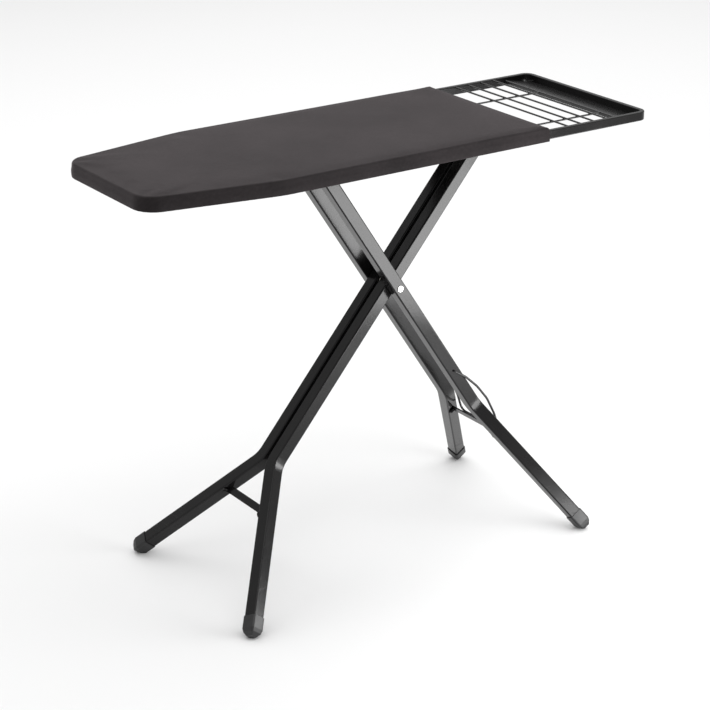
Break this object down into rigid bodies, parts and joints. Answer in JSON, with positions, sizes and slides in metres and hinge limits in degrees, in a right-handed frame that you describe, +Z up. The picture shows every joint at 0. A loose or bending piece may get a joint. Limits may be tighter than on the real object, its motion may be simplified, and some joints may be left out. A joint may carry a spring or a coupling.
{
  "type": "ironing board",
  "caption": "Folding ironing board with a padded fabric top, a wire iron rest and two crossed pairs of splayed square-tube legs.",
  "frame": {"origin": "on the floor under the middle of the board's length and width", "axes": "+X from the nose towards the iron rest, +Z up, +Y to the left seen from the iron rest looking at the nose"},
  "size_m": [1.182, 0.4812, 0.9228],
  "materials": {
    "black_paint": "satin black powder coat",
    "cover_cloth": "matt woven black cotton",
    "pad_felt": "soft felt",
    "hem_tape": "matt woven tape",
    "zinc_steel": "bright zinc plate",
    "roller_plastic": "natural nylon",
    "black_plastic": "fine matt grain",
    "grip_plastic": "soft sheen",
    "spring_steel": "oiled spring steel"
  },
  "bodies": {
    "board": {"cover": "cover_cloth", "hem_tape": "hem_tape", "felt_pad": "pad_felt", "deck_sheet": "black_paint", "deck_rim": "black_paint", "rest_frame": "black_paint", "rest_joiners": "zinc_steel", "rear_bar": "black_paint", "rest_cross_wires": "black_paint", "rest_long_wires": "black_paint", "heel_plate": "black_paint", "hinge_bar": "black_paint", "rack_bar": "black_paint", "front_bar": "black_paint", "height_rack_left": "black_paint", "height_rack_right": "black_paint", "hinge_bracket_left": "black_paint", "hinge_bracket_right": "black_paint", "bar_rivets": "zinc_steel", "lever_bracket": "black_paint", "lever_pin": "zinc_steel", "lever_spring": "spring_steel"},
    "lever": {"release_lever": "zinc_steel", "lever_grip": "grip_plastic"},
    "inner_legs": {"inner_leg_left": "black_paint", "inner_leg_right": "black_paint", "inner_foot_left": "black_plastic", "inner_foot_right": "black_plastic", "inner_top_plugs": "black_plastic", "inner_brace": "black_paint", "inner_brace_rivets": "black_paint", "hinge_shaft": "zinc_steel", "hinge_clips": "zinc_steel", "hinge_washers": "roller_plastic", "pivot_spacer": "roller_plastic"},
    "outer_legs": {"outer_leg_left": "black_paint", "outer_leg_right": "black_paint", "outer_foot_left": "black_plastic", "outer_foot_right": "black_plastic", "outer_top_plugs": "black_plastic", "outer_brace": "black_paint", "outer_brace_rivets": "black_paint", "slider_rod": "zinc_steel", "slider_rollers": "roller_plastic", "slider_clips": "zinc_steel", "pivot_rivet": "zinc_steel", "pivot_washers": "roller_plastic"},
    "bail": {"transport_bail": "black_paint"}
  },
  "joints": [
    {"name": "fold", "type": "hinge", "parent": "board", "child": "inner_legs", "pos_m": [0.29822, 0, 0.877], "axis": [0, 1, 0], "range_deg": [0, 45.3]},
    {"name": "cross", "type": "hinge", "parent": "inner_legs", "child": "outer_legs", "pos_m": [0.054, 0, 0.588], "axis": [0, 1, 0], "range_deg": [-97.5, 0]},
    {"name": "bail_swing", "type": "hinge", "parent": "outer_legs", "child": "bail", "pos_m": [0.1964, 0, 0.37286], "axis": [0, 1, 0], "range_deg": [-18, 0]},
    {"name": "release", "type": "hinge", "parent": "board", "child": "lever", "pos_m": [-0.13728, 0.097, 0.878], "axis": [1, 0, 0], "range_deg": [0, 6], "stiffness_Nm_per_rad": 1.5, "springref_deg": -5.73}
  ],
  "couplings": [
    {"joint": "cross", "follows": "fold", "ratio": -2.15}
  ]
}
